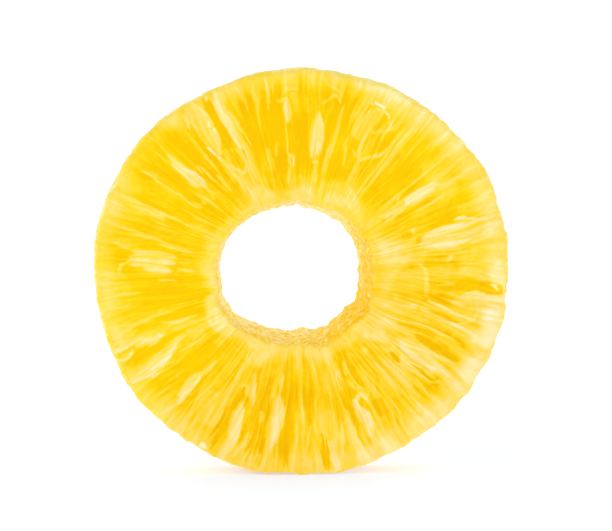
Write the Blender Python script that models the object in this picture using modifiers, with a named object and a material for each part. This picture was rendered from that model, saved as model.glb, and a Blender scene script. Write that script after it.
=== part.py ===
"""A pineapple ring: a thick, peeled and cored cross slice, standing on the foot of its rim.

It is one solid. The rim is the uneven round that the peeling knife leaves, the core's hole is
an oval cut that narrows a little towards the back, and both faces rise and fall gently from
one fruitlet to the next. A small flat at the bottom of the rim is what the ring stands on.

The front face looks along -Y, with +X to the right and +Z up. The origin is in the middle of
the foot, at the bottom of the bounding box. Angles run anticlockwise from +X, seen from the
front.
"""

import math

import bpy
import numpy as np

# Driving sizes, in metres, and angles in degrees
RIM_WIDTH = 0.0903
RIM_HEIGHT = 0.0885
THICKNESS = 0.0150
FOOT_WIDTH = 0.0100  # the flat at the bottom of the rim, along X

# The core's hole. Its widths and heights leave out the rounding of its edges
HOLE_FRONT = (0.0344, 0.0314)
HOLE_BACK = (0.0310, 0.0273)
HOLE_CENTRE_FRONT = (-0.0016, -0.0003)  # from the middle of the rim, along X and Z
HOLE_CENTRE_BACK = (-0.0019, -0.0003)

# Rounding of the four cut edges
RIM_FRONT_ROUND = 0.0011
RIM_BACK_ROUND = 0.0009
HOLE_FRONT_ROUND = 0.0005
HOLE_BACK_ROUND = 0.0006

# Unevenness: (waves in a turn, height in metres, angle of a crest in degrees)
RIM_WAVES = ((3, 0.00022, 41), (4, 0.00009, 48), (6, 0.00014, 30), (9, 0.00013, 14), (10, 0.00011, 30))
HOLE_WAVES = ((3, 0.00030, 73), (4, 0.00020, 34), (6, 0.00014, 37), (9, 0.00013, 11))
RIM_LEAN = ((1, 0.00015, 125), (3, 0.00026, 122))  # of the cut side, front edge against back
WEDGE = 0.0004  # how much thicker the slice is on its thick side than on its thin side
WEDGE_ANGLE = 62.0  # where the thick side is
FRUITLETS = 21  # that the cut crosses on its way round
SWELL = 0.00012  # height of each fruitlet above the valleys between them
SWELL_WANDER = 1.4  # radians of a fruitlet's wave, so that they aren't all of one width
SWELL_OUTWARD = 1.5  # above 1, the swells are fullest nearer the rim than the hole
SHARP_EDGE = 50.0

# Fineness of the surface
COLUMNS = 168
FACE_STEPS = 7
SIDE_STEPS = 3
ROUND_STEPS = 2

# Nominal section, before it is fitted to the real outline
HOLE_RADIUS = 0.0150
RIM_RADIUS = 0.0445

FLESH_COLOUR = (0.96, 0.62, 0.04, 1.0)
FLESH_ROUGHNESS = 0.32


def waves(angle, terms):
    """The sum of the waves at each angle."""
    return sum(
        height * np.cos(count * (angle - math.radians(crest)))
        for count, height, crest in terms
    )


def oval(angle, width, height):
    """Distance from the centre of an ellipse to its edge, at each angle."""
    a, b = width / 2, height / 2
    return a * b / np.hypot(b * np.cos(angle), a * np.sin(angle))


def corner(centre_radius, centre_height, radius, start):
    """Points of a quarter round in the section, clockwise from an angle in degrees."""
    turns = [math.radians(start - 90 * i / ROUND_STEPS) for i in range(ROUND_STEPS + 1)]
    return [
        (centre_radius + radius * math.cos(t), centre_height + radius * math.sin(t))
        for t in turns
    ]


def between(first, last, steps):
    """The points that split a straight run into equal steps, without its ends."""
    return [
        tuple(f + (n - f) * i / steps for f, n in zip(first, last, strict=True))
        for i in range(1, steps)
    ]


def section():
    """The nominal section as (radius, height) points, clockwise from the front face at the hole.

    Height is measured towards the front, so the section runs over the front face, down the rim,
    back along the back face and up the hole's wall.
    """
    top, bottom = THICKNESS / 2, -THICKNESS / 2
    rounds = [
        corner(HOLE_RADIUS + HOLE_FRONT_ROUND, top - HOLE_FRONT_ROUND, HOLE_FRONT_ROUND, 180),
        corner(RIM_RADIUS - RIM_FRONT_ROUND, top - RIM_FRONT_ROUND, RIM_FRONT_ROUND, 90),
        corner(RIM_RADIUS - RIM_BACK_ROUND, bottom + RIM_BACK_ROUND, RIM_BACK_ROUND, 0),
        corner(HOLE_RADIUS + HOLE_BACK_ROUND, bottom + HOLE_BACK_ROUND, HOLE_BACK_ROUND, -90),
    ]
    steps = (FACE_STEPS, SIDE_STEPS, FACE_STEPS, SIDE_STEPS)
    points = []
    for i, run in enumerate(rounds):
        following = rounds[(i + 1) % len(rounds)]
        points += run + between(run[-1], following[0], steps[i])
    return points


def turned_ring():
    """The nominal section turned once about Z, as a plain mesh."""
    points = section()
    outline = bpy.data.meshes.new("section")
    outline.from_pydata(
        [(radius, 0.0, height) for radius, height in points],
        [(i, (i + 1) % len(points)) for i in range(len(points))],
        [],
    )
    guide = bpy.data.objects.new("section", outline)
    bpy.context.scene.collection.objects.link(guide)
    turn = guide.modifiers.new("turn", "SCREW")
    turn.steps = turn.render_steps = COLUMNS
    turn.use_merge_vertices = True
    turn.merge_threshold = 0.00005
    turn.use_normal_calculate = False
    graph = bpy.context.evaluated_depsgraph_get()
    mesh = bpy.data.meshes.new_from_object(guide.evaluated_get(graph))
    bpy.data.objects.remove(guide)
    bpy.data.meshes.remove(outline)
    return mesh


def hole_edge(angle, towards_front):
    """Distance from the rim's middle to the hole's wall. towards_front is 0 at the back, 1 in front."""
    walls = []
    for size, centre in ((HOLE_BACK, HOLE_CENTRE_BACK), (HOLE_FRONT, HOLE_CENTRE_FRONT)):
        shift = centre[0] * np.cos(angle) + centre[1] * np.sin(angle)
        walls.append(oval(angle, *size) + shift)
    back, front = walls
    return back + (front - back) * towards_front + waves(angle, HOLE_WAVES)


def rim_edge(angle, towards_front):
    """Distance from the rim's middle to its cut side."""
    lean = waves(angle, RIM_LEAN) * (2 * towards_front - 1)
    return oval(angle, RIM_WIDTH, RIM_HEIGHT) + waves(angle, RIM_WAVES) + lean


def face_relief(angle, across, side):
    """How far a face stands out along its own normal, at a share across from hole to rim.

    side is 1 on the front face and -1 on the back one, whose swells fall elsewhere.
    """
    turn = FRUITLETS * angle + SWELL_WANDER * np.sin(2 * angle + side) + side
    swells = SWELL * np.cos(turn) * np.sin(math.pi * np.clip(across, 0, 1) ** SWELL_OUTWARD)
    wedge = WEDGE / 4 * np.cos(angle - math.radians(WEDGE_ANGLE))
    return swells + wedge


def fit_to_outline(points):
    """Moves the turned ring's vertices onto the real rim, hole and faces, in the part's own axes."""
    angle = np.arctan2(points[:, 1], points[:, 0])
    radius = np.hypot(points[:, 0], points[:, 1])
    height = points[:, 2]
    across = (radius - HOLE_RADIUS) / (RIM_RADIUS - HOLE_RADIUS)
    towards_front = height / THICKNESS + 0.5
    hole = hole_edge(angle, towards_front)
    rim = rim_edge(angle, towards_front)
    radius = hole + (rim - hole) * across
    side = np.sign(height)
    share_of_face = np.clip(2 * np.abs(height) / THICKNESS, 0, 1)
    height = height + side * share_of_face * face_relief(angle, across, side)
    return np.stack([radius * np.cos(angle), -height, radius * np.sin(angle)], axis=1)


def stand_on_foot(points):
    """Cuts the foot flat, then puts the middle of the box over the origin and the foot on it."""
    foot_depth = FOOT_WIDTH**2 / (4 * RIM_HEIGHT)
    level = points[:, 2].min() + foot_depth
    points[:, 2] = np.maximum(points[:, 2], level) - level
    for axis in (0, 1):
        points[:, axis] -= (points[:, axis].min() + points[:, axis].max()) / 2
    return points


def flesh_material():
    material = bpy.data.materials.new("pineapple_flesh")
    material.use_nodes = True
    shader = material.node_tree.nodes["Principled BSDF"]
    shader.inputs["Base Color"].default_value = FLESH_COLOUR
    shader.inputs["Roughness"].default_value = FLESH_ROUGHNESS
    shader.inputs["Metallic"].default_value = 0.0
    return material


def pineapple_ring(collection):
    mesh = turned_ring()
    mesh.name = "pineapple_ring"
    points = np.empty(len(mesh.vertices) * 3)
    mesh.vertices.foreach_get("co", points)
    points = stand_on_foot(fit_to_outline(points.reshape(-1, 3)))
    mesh.vertices.foreach_set("co", points.ravel())
    mesh.shade_smooth()
    mesh.set_sharp_from_angle(angle=math.radians(SHARP_EDGE))
    mesh.materials.clear()
    mesh.materials.append(flesh_material())
    mesh.update()
    ring = bpy.data.objects.new("pineapple_ring", mesh)
    collection.objects.link(ring)
    return ring


def main():
    for leftover in list(bpy.data.objects):
        bpy.data.objects.remove(leftover)
    collection = bpy.data.collections.new("pineapple_ring")
    bpy.context.scene.collection.children.link(collection)
    pineapple_ring(collection)


main()
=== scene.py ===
# A thick ring of fresh pineapple, standing on the foot of its rim: wet flesh with fibres that run
# out from the core, pale seed chambers, a knife-cut rim and the grainy wall that the corer leaves.
import math

import bpy
import numpy as np
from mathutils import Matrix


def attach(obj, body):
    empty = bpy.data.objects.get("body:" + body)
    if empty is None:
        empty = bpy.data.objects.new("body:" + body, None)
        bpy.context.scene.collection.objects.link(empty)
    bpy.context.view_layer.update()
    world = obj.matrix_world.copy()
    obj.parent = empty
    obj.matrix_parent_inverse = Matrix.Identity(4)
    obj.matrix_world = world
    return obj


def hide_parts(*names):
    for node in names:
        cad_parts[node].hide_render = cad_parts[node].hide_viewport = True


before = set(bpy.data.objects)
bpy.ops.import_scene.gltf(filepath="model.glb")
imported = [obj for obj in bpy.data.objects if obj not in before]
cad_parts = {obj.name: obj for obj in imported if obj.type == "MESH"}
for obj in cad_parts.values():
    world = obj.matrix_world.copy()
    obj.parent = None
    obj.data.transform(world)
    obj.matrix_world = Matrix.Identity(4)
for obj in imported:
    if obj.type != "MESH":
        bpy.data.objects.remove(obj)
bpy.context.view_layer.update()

mm = 0.001
print("frame loaded")


# Angles are in degrees, anticlockwise as the front face is seen, from the right. Reach is the
# distance in millimetres from the heart that the fibres run out from.
ringBody = {
    "node": "pineapple_ring",
    "heart": (-0.54, 0.37),  # of the fibres, from the middle of the ring, in mm
    "waves": 12,  # in a turn, the shortest that is read from the CAD outlines
    "columns": 1024,  # of faces round the front
    "coarser": 2,  # how many of them make one on the rim, the back and the wall
    "frontRows": 60,
    "rimRows": 9,
    "backRows": 12,
    "wallRows": 20,
    "roundRows": 4,  # on each of the four rounded edges
    "faceInset": 0.22,  # mm from the sides of the box to the middle level of the faces
    "rounds": {"holeFront": 0.5, "rimFront": 1.1, "rimBack": 0.9, "holeBack": 0.6},
    "overBox": 0.25,  # mm that lumps may stand out past the box, but never downwards
    # bumps and nicks of the trimmed rim: angle, half width in degrees, height in mm
    "rimBumps": (
        (8, 3, 0.20), (16, 3, -0.16), (30, 4, 0.12), (56, 3, -0.12), (65, 3, 0.16), (72, 3, -0.18),
        (80, 3, -0.22), (88, 3, 0.16), (96, 3, -0.24), (128, 3, -0.14), (140, 3, 0.18),
        (168, 3, 0.20), (192, 4, 0.24), (208, 4, -0.16), (248, 4, -0.16), (296, 3, -0.14),
        (305, 4, 0.18), (313, 5, 0.28), (322, 4, 0.22), (328, 3, 0.10), (346, 5, 0.42),
        (353, 2, -0.06),
    ),
    # and of the wall, where the corer tore more away
    "wallBumps": (
        (20, 7, 0.35), (56, 4, 0.35), (88, 4, 0.50), (154, 14, 0.50), (200, 5, 0.60), (220, 8, 0.45),
        (286, 7, 0.60), (328, 4, 0.60),
    ),
    # soft random layers: cells in a turn, length and height in mm, seed
    "rimLumps": ((64, 5.0, 0.24, 81), (130, 2.5, 0.34, 82), (250, 1.6, 0.40, 85)),
    "rimRelief": ((34, 30.0, 0.30, 91), (120, 2.6, 0.26, 92), (420, 0.9, 0.08, 93)),
    "wallLumps": ((40, 4.0, 0.60, 83), (88, 2.0, 0.50, 84), (160, 1.2, 0.30, 86)),
    "wallRelief": ((44, 2.0, 0.14, 96), (110, 0.6, 0.22, 95)),
    "rimPaleness": 0.72,
    "wallPaleAndBackGlow": (0.24, 0.64),  # behind the front lip and at the back, where the paler wall is painted glow of light shining through
    # warmth of colour, partly painted shade: more of it towards the bottom and lower right
    "warmthAndShade": 0.28,
    # the same layers for paleness
    "rimTones": ((120, 2.6, 0.5, 92), (420, 0.9, 0.4, 93)),
    "wallTones": ((110, 0.6, 0.5, 95), (44, 2.0, 0.3, 96)),
    # warmer and cooler sides of the ring, warmer and darker towards the bottom and lower right partly as
    # painted shade, and painted light and shade on the sides of the wall, paler above and deeper at the
    # lower right: angle, half width in degrees, amount
    "warmAndShadedSides": (
        (115, 22, 0.45), (198, 22, -0.30), (250, 24, 0.75), (285, 16, 0.40), (322, 26, 0.80),
        (0, 24, 0.35),
    ),
    "paintedLightOnWall": (
        (8, 16, -0.08), (60, 24, 0.42), (100, 24, 0.38), (150, 34, 0.35), (195, 26, 0.22),
        (255, 30, 0.18), (318, 34, -0.28),
    ),
}


def easeIn(x):
    # 0 below 0, 1 above 1, and a smooth S between them: 3 x squared less 2 x cubed
    x = np.clip(x, 0.0, 1.0)
    return x * x * (3 - 2 * x)


def between(x, low, high):
    # Smoothly from 0 at low to 1 at high
    return easeIn((x - low) / (high - low))


def bell(x, middle, half):
    # 1 at the middle and falling away in a bell curve, for angles that close at 360
    off = (x - middle + 180) % 360 - 180
    return np.exp(-((off / half) ** 2))


def sidesOf(angle, sides):
    # The sum of bells round the ring: angle, half width in degrees, height
    return sum(height * bell(angle, at, half) for at, half, height in sides)


def cellNoise(angle, run, cells, length, seed):
    # Soft random values from 0 to 1 that close on themselves round the ring: a random height at
    # each of the cells in a turn and at each length along run (mm), blended smoothly. Every
    # column of cells starts at its own place, so that streaks don't line up in rings.
    draw = np.random.default_rng(seed)
    rows = int(64 / length) + 4  # enough for 64 mm
    heights = draw.random((cells, rows))
    starts = draw.random(cells)
    turn = np.mod(angle / 360.0, 1.0) * cells
    left = np.floor(turn).astype(int)
    share = easeIn(turn - left)
    total = 0.0
    for cell, weight in ((left % cells, 1 - share), ((left + 1) % cells, share)):
        place = np.clip(run / length + starts[cell], 0, rows - 1.001)
        low = place.astype(int)
        mix = easeIn(place - low)
        total = total + weight * (heights[cell, low] * (1 - mix) + heights[cell, low + 1] * mix)
    return total


def planeNoise(x, z, size, seed):
    # The same over a plane: random heights on a square net of that size (mm), blended smoothly
    side = 128  # cells each way, after which the net repeats
    net = np.random.default_rng(seed).random((side, side))
    u, v = np.asarray(x) / size + side / 2, np.asarray(z) / size + side / 2
    i, j = np.floor(u).astype(int), np.floor(v).astype(int)
    a, b = easeIn(u - i), easeIn(v - j)
    i, j = i % side, j % side
    k, m = (i + 1) % side, (j + 1) % side
    low = net[i, j] * (1 - a) + net[k, j] * a
    high = net[i, m] * (1 - a) + net[k, m] * a
    return low * (1 - b) + high * b


def readNode(name):
    # The CAD node's vertices in mm, as rows of x, y, z
    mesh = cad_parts[name].data
    places = np.empty(len(mesh.vertices) * 3)
    mesh.vertices.foreach_get("co", places)
    return places.reshape(-1, 3) / mm


def waveRows(angle, depth, order):
    # One column for each term of the outline: waves round the ring, and slower ones that lean
    # from front to back
    turn = np.radians(angle)
    terms = [np.ones_like(turn), depth]
    for k in range(1, order + 1):
        terms += [np.cos(k * turn), np.sin(k * turn)]
        if k <= 5:
            terms += [depth * np.cos(k * turn), depth * np.sin(k * turn)]
    return np.stack(terms, axis=-1)


def fitEdge(angle, depth, reach, order):
    # The smooth outline through those vertices, as a function of angle and depth: least squares,
    # damped a little so that it stays calm where the foot leaves a gap
    rows = waveRows(angle, depth, order)
    damping = 0.3
    square = rows.T @ rows + damping * np.diag([0.0, 0.0] + [1.0] * (rows.shape[1] - 2))
    weights = np.linalg.solve(square, rows.T @ reach)
    return lambda a, d: waveRows(a, d, order) @ weights


def measureRing(body):
    # The outlines of the rim and of the hole, and the ring's sizes, all from the CAD node
    places = readNode(body["node"])
    low, high = places.min(axis=0), places.max(axis=0)
    middle = (low + high) / 2
    heart = np.array([middle[0] + body["heart"][0], middle[2] + body["heart"][1]])
    x, z = places[:, 0] - heart[0], places[:, 2] - heart[1]
    angle, reach = np.degrees(np.arctan2(z, x)), np.hypot(x, z)
    depth = places[:, 1] - middle[1]
    half = (high[1] - low[1]) / 2 - body["faceInset"]
    straight = np.abs(depth) < half - max(body["rounds"].values()) + 0.2
    isRim = straight & (reach > 36) & (places[:, 2] > 0.05)  # without the foot's flat
    isWall = straight & (reach < 24)
    return {
        "heart": heart,
        "middle": middle,
        "half": half,
        "low": low,
        "high": high,
        "rim": fitEdge(angle[isRim], depth[isRim], reach[isRim], body["waves"]),
        "wall": fitEdge(angle[isWall], depth[isWall], reach[isWall], body["waves"]),
    }


def sectionOf(body, half):
    # The ring's closed section, one entry a row: across (0 at the hole, 1 at the rim), inset from
    # there (mm outward), depth (mm, back positive) and facing, in degrees (0 front, 90 rim,
    # 180 back, 270 hole's wall). It goes over the front, round the rim, over the back and up the
    # wall. The count of rows from the lip of the hole to the rim's front edge comes with it.
    r, steps = body["rounds"], body["roundRows"]
    corners = (
        (0, r["holeFront"], half - r["holeFront"], r["holeFront"], 270),
        (1, -r["rimFront"], half - r["rimFront"], r["rimFront"], 0),
        (1, -r["rimBack"], r["rimBack"] - half, r["rimBack"], 90),
        (0, r["holeBack"], r["holeBack"] - half, r["holeBack"], 180),
    )
    counts = (body["frontRows"], body["rimRows"], body["backRows"], body["wallRows"])
    runs = []
    for across, inset, height, radius, first in corners:
        facing = first + 90 * np.arange(steps + 1) / steps
        turn = np.radians(facing)
        out = inset + radius * np.sin(turn)
        up = height + radius * np.cos(turn)
        runs.append(np.stack([np.full(steps + 1, float(across)), out, -up, facing], axis=1))
    rows = []
    for i, count in enumerate(counts):
        last, following = runs[i][-1], runs[(i + 1) % 4][0].copy()
        following[3] = last[3]
        share = (np.arange(1, count) / count)[:, None]
        rows += [runs[i], last * (1 - share) + following * share]
    return np.concatenate(rows), 2 * (steps + 1) + body["frontRows"] - 1


# Marks on the front face, each laid along a smooth curve: width in mm, paleness, softness of its
# edges in mm (one number, or one for the left and one for the right), then the angle and the
# reach of each place that the curve goes through. Below -0.22 the paleness turns browned.
frontMarks = {
    # soft, broad patches, added to what is there
    "clouds": (
        (2.8, -0.2, 1.5, 334, 16.2, 350, 16.8, 365, 17, 380, 16.8, 398, 15.8),
        (9, 0.15, 2, 6, 17, 8, 22, 9, 28), (8, 0.18, 2, 64, 16, 65, 21.4),
        (8, 0.12, 2, 118, 14, 118, 23), (7, 0.22, 2, 88, 15, 88, 21), (7, 0.14, 2, 188, 16, 189, 21),
        (9, 0.3, 2.6, 210, 16, 210, 22.5), (11, 0.18, 2.5, 242, 15, 242, 23),
        (8, 0.08, 2.5, 270, 16, 270, 22), (6, 0.16, 1.6, 0.8, 321, 16, 320.6, 27),
        (9, 0.12, 2.5, 322, 26, 322, 38), (7, 0.1, 2.5, 340, 36, 342, 46),
        (8, 0.1, 2.5, 186, 36, 190, 46), (9, 0.12, 2.5, 155, 38, 156, 47),
        (9, 0.12, 2.5, 66, 38, 66, 47), (8, 0.1, 2.5, 286, 34, 288, 46), (8, 0.1, 2.5, 32, 33, 30, 44),
        (8, -0.12, 2.5, 70, 24, 56, 33), (8, -0.12, 2.5, 112, 25, 110, 36),
        (8, -0.12, 2.5, 130, 25, 131, 37), (8, -0.14, 2.5, 152, 18, 153, 32),
        (8, -0.14, 2.5, 333, 24, 334, 33), (7, -0.14, 2.5, 1, 27, 1, 35),
        (6, -0.12, 2, 302, 33, 301, 37), (7, -0.12, 2.5, 20, 34, 20, 43),
        (7, -0.24, 2.5, 121, 29, 121, 39), (6, -0.12, 2.5, 272, 23, 270, 31),
        (6, -0.14, 2, 303, 36, 302, 44), (6, -0.14, 2, 320, 36, 320, 43), (5, -0.1, 2, 24, 18, 25, 29),
        (5, -0.1, 2, 60, 33, 60, 40), (5, -0.1, 2, 46, 26, 48, 34), (5, 0.3, 2, 30, 32, 30, 39),
        (4, 0.14, 2, 70, 41, 71, 46), (4, 0.14, 2, 79, 41, 80, 46), (5, 0.2, 2, 182, 37, 183, 46),
        (4, 0.36, 2, 199, 38, 200, 43), (4, 0.22, 2, 130, 41, 131, 46), (5, 0.1, 2, 320, 25, 320, 32),
        (5, 0.3, 2, 281, 31, 281, 40), (4, -0.14, 2, 243, 43.8, 253, 43.8, 265, 43.8),
        (5, 0.3, 2, 290, 35, 290, 40), (5, 0.14, 2, 310, 36, 310, 40), (5, -0.12, 2, 330, 17, 330, 21),
        (4, 0.22, 2, 337, 43.6, 345, 43.6, 353, 43.4), (4, 0.28, 2, 350, 32.5, 350, 37),
        (4, 0.2, 2, 210, 24, 210, 28), (3, 0.12, 2, 200, 21, 201, 24.5),
        (4, 0.26, 2, 356, 43.8, 363, 43.8), (4, 0.14, 2, 10, 21, 10, 25), (4, 0.2, 2, 30, 17, 30, 21),
        (3.5, 0.34, 2, 56, 44.2, 66, 44.2, 75, 44.2, 84, 44.2), (4, 0.18, 2, 70, 17, 70, 21),
        (4, -0.12, 2, 70, 29, 70, 34), (4, -0.2, 2, 90, 38, 90, 43), (5, -0.14, 2, 100, 31, 100, 37),
        (4, 0.14, 2, 230, 20, 230, 25), (4, -0.12, 2, 240, 38, 240, 43), (4, 0.24, 2, 260, 32, 260, 40),
        (3.5, -0.12, 2, 268, 44, 278, 44, 288, 44), (5, 0.16, 2, 292, 23, 292, 28),
        (4, 0.14, 2, 300, 24, 300, 27.5), (4, -0.18, 2, 300, 32.5, 300, 37),
        (4, 0.14, 2, 320, 29, 320, 34), (4, 0.18, 2, 326, 43.8, 335, 43.8),
        (4, 0.14, 2, 350, 24, 350, 28), (5, 0.2, 2, 160, 36, 160, 45), (4, 0.18, 2, 170, 34.5, 170, 40),
        (5, 0.16, 2, 50, 17, 50, 23.5), (4, -0.14, 2, 198, 17, 199, 20.5), (4, 0.1, 2, 289, 18, 290, 34),
        (4, 0.16, 2, 0, 34.5, 0, 40), (4, 0.1, 2, 318, 23, 318, 36), (5, 0.12, 2, 250, 32, 250, 42),
        (4, -0.12, 2, 120, 31, 120, 38), (4, 0.12, 2, 190, 33, 190, 42), (4, 0.1, 2, 140, 34, 140, 41),
        (4, 0.12, 2, 130, 17, 130, 21),
    ),
    # gaps between the fruitlets, where the flesh is deepest in colour
    "hollows": (
        # the pit at the right, its deep colour partly painted shade in the hollow
        (3.2, 0.02, 0.2, 0.1, 355.1, 33.8, 354.9, 39, 354.6, 45.4),
        (1.1, -0.3, 0.2, 318.2, 26.6, 317.2, 29.8), (0.7, -0.45, 0.2, 0.1, 277.4, 35.4, 277.2, 44),
        (0.6, -0.3, 0.2, 278.9, 35.8, 278.3, 44.4), (0.5, -0.12, 0.2, 256.6, 33.4, 256.2, 43),
        (0.5, -0.12, 0.2, 258.2, 37.4, 257.8, 43.8),
        (1.8, -0.08, 0.5, 0.3, 244.4, 27.6, 244, 34, 243.6, 43.6),
        (1, -0.05, 0.4, 290.6, 24.6, 290.2, 42), (1, -0.05, 0.4, 0.3, 257.6, 28.4, 257.8, 41),
        (2.8, -0.03, 0.6, 0.5, 207.4, 30.4, 207.2, 36, 208, 43),
        (2.2, 0, 0.4, 118.2, 30.4, 118, 37, 118.8, 43.8), (1.7, -0.02, 0.3, 120, 26.2, 119.2, 30),
        (1.3, -0.02, 0.3, 0.4, 171, 25.4, 170.4, 36), (3.4, 0, 0.8, 0.6, 143.8, 26.8, 143.2, 37.8),
        (3.4, 0, 0.9, 88.2, 23, 88, 34.6), (1.8, 0.02, 0.5, 0.4, 79, 26.2, 78.4, 34.6),
        (1.4, 0, 0.4, 20.4, 27.6, 20.8, 37), (1.1, -0.1, 0.2, 14.8, 26.2, 14, 28.8),
        (1.2, -0.04, 0.4, 0.3, 18.6, 23.4, 18, 25.8), (1.3, 0.02, 0.4, 7.4, 29, 7.8, 38.4),
        (1, 0.02, 0.3, 28.6, 23.8, 28.8, 33.6), (3.6, 0, 1, 40.6, 23, 40.2, 34.6),
        (1.8, 0, 0.5, 298.4, 23.4, 299, 28.6), (2.2, -0.02, 0.6, 0.3, 330.8, 28.6, 330.6, 40.4),
        (0.5, -0.05, 0.1, 319.6, 31.6, 321.4, 38.8), (0.9, 0, 0.3, 343, 29.4, 342.4, 37),
        (1, 0.04, 0.3, 349.8, 29.6, 350.2, 34.6), (1.2, -0.02, 0.4, 254.2, 33.4, 254.2, 43),
        (0.9, -0.04, 0.3, 265.4, 27, 266, 43), (0.9, 0.02, 0.3, 289.6, 27.8, 289.2, 36),
        (0.8, 0, 0.3, 295.9, 23.6, 298.2, 27.6), (2.6, 0, 0.8, 188.8, 23, 191, 35),
        (2.4, 0, 0.8, 219.4, 23.6, 218.4, 33), (2.4, 0, 0.8, 103, 27, 107.4, 36.6),
        (2, 0, 0.6, 68.4, 23, 59, 24.4), (2.2, 0, 0.7, 275.2, 24.2, 273.8, 33.2),
    ),
    # spindle-shaped seed chambers, lined with pale skin
    "chambers": (
        (5.9, 0.7, 0.4, 12.2, 27, 13, 33, 13.6, 41),
        (1, 0.95, 0.1, 0.4, 16.4, 29.2, 16.5, 33, 15.8, 37.4),
        (1.2, 0.88, 0.5, 0.2, 10.8, 27.8, 10.2, 32, 10.6, 38.4),
        (2.1, 0.98, 0.2, 0.6, 31.5, 26.6, 32.5, 30.5, 32.2, 36),
        (1.3, 0.7, 0.4, 0.5, 77.2, 19.8, 76.2, 24.5, 76, 30.5, 74.9, 37.4),
        (2.5, 0.76, 0.6, 0.2, 82.7, 24.2, 82.4, 28.5, 82.3, 35),
        (1.4, 0.86, 0.4, 94.2, 32.2, 93.7, 34.4, 93.6, 37.4),
        (2.3, 0.74, 0.2, 0.5, 114.3, 28.6, 114.9, 34, 115.6, 39, 114.2, 44.8),
        (1.5, 0.66, 0.4, 0.3, 113.4, 18.6, 114, 24.5, 113.5, 30.6),
        (3.7, 0.7, 0.9, 0.2, 124.4, 30, 122.7, 35.5, 122.5, 39.8, 123.8, 44.8),
        (2.4, 0.78, 0.4, 0.3, 137.8, 27.2, 138.6, 31.5, 138.2, 38.4),
        (1, 0.96, 0.4, 0.2, 137.6, 27.8, 137.2, 30, 137.6, 33.5),
        (3.8, 0.56, 0.8, 0.5, 175.4, 26.8, 175.4, 32, 175.2, 37.4),
        (1.1, 0.88, 0.3, 0.4, 176.9, 26.7, 176.3, 30.5, 175.9, 36.8),
        (1.3, 0.78, 0.6, 0.3, 178.8, 27.6, 178.4, 32, 177.4, 37),
        (1.2, 0.66, 0.4, 0.3, 173.4, 26.6, 172.9, 32, 172.8, 37.2),
        (2.3, 0.72, 0.3, 0.8, 204, 31.6, 204.2, 35.4, 203, 39.4, 202.6, 45),
        (3.1, 0.74, 0.2, 0.9, 208.6, 28.2, 210.6, 32.4, 212.6, 36.4, 213, 40.4, 212, 45),
        (1.1, 0.96, 0.1, 0.4, 210.6, 30.6, 213.2, 34.6, 213.8, 38.6),
        (2.5, 0.84, 0.2, 0.4, 226, 30, 226.3, 34.6, 227, 39.4),
        (2.7, 0.8, 0.2, 0.4, 246.2, 30.6, 247.4, 35, 248.3, 39.4, 246.8, 45),
        (1, 0.92, 0.1, 0.4, 248, 34, 249, 37.4, 248.9, 41.2),
        (1.4, 0.68, 0.2, 0.6, 247, 24, 248.4, 27, 250.3, 31.2),
        (2.7, 0.82, 0.2, 0.3, 261.2, 27.6, 261.6, 32.5, 260.8, 39),
        (0.9, 0.94, 0.2, 0.3, 262.6, 29.4, 262, 33.5, 261.6, 37.8),
        (1.7, 0.84, 0.4, 0.2, 279.7, 36.6, 280.4, 40.4, 280.9, 45),
        (2.5, 0.82, 0.3, 293.2, 31.4, 294, 34.6, 293.8, 39.8),
        (0.9, 0.96, 0.1, 0.3, 293.2, 32.4, 295.2, 34.2, 294.2, 37.8),
        (1.3, 0.9, 0.2, 297.9, 32.2, 296.2, 30, 293.6, 31.6, 292.9, 33.4),
        (3.3, 0.72, 0.8, 0.3, 323.8, 26.6, 324.2, 31, 324.6, 35, 325, 42),
        (1.1, 0.92, 0.4, 0.2, 323, 27.2, 323, 31, 323.8, 37),
        # the pale lip below that pit, painted brighter where it catches the light
        (2.4, 0.82, 0.1, 1.4, 350.9, 35.6, 351.2, 40, 350.6, 45.2),
    ),
    # fibres, seams between the fruitlets, and small arches over the chambers
    "strands": (
        (0.7, 0.98, 0.1, 0.2, 18.4, 35.4, 17.8, 38, 15, 42.4),
        (0.5, 0.84, 0.1, 0.2, 14.4, 28.8, 13.6, 33.5, 13.2, 39),
        (0.4, 0.75, 0.2, 15.2, 41.6, 14.8, 43.6), (0.5, 0.66, 0.2, 8.2, 32, 7.8, 38, 8, 43),
        (0.4, 0.64, 0.2, 5.4, 35.5, 5, 38, 5.4, 43.6), (0.4, 0.64, 0.2, 2.6, 35.5, 2.4, 39, 2.6, 43.6),
        (0.8, 0.76, 0.3, 6.2, 33.8, 3.2, 32.2), (0.7, 0.76, 0.2, 0.3, 3.8, 25.8, 0.4, 27.2),
        (0.9, 0.68, 0.3, 19.8, 25.6, 18.8, 26.6), (0.7, 0.66, 0.3, 36.4, 27.3, 34.4, 26.2),
        (1.1, 0.76, 0.3, 31.2, 21.8, 31.5, 27.4), (0.8, 0.66, 0.3, 34, 20.6, 31.8, 23.8),
        (0.8, 0.66, 0.3, 29, 21, 31, 24), (0.4, 0.66, 0.2, 27.4, 28.6, 26.9, 35.4),
        (0.9, 0.56, 0.4, 31.6, 36, 30.4, 41), (0.6, 0.74, 0.2, 38.9, 39.4, 37.3, 41.6),
        (0.4, 0.66, 0.2, 18.6, 41.6, 19.6, 44.2), (0.9, 0.72, 0.3, 0.4, 44, 17.6, 50, 19.4, 61, 21.8),
        (1.4, 0.56, 0.5, 61.2, 21, 61.6, 27.8),
        (0.9, 0.82, 0.2, 62, 27.4, 58, 29.2, 55.4, 30.8, 54.4, 33.2),
        (0.7, 0.76, 0.2, 62, 27.4, 63.6, 29.6, 63.2, 34.4), (0.5, 0.68, 0.2, 62.4, 27.8, 66.6, 28.8),
        (0.5, 0.68, 0.2, 64.4, 34, 61, 34.4, 57.6, 36.4, 56, 39.6),
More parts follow.
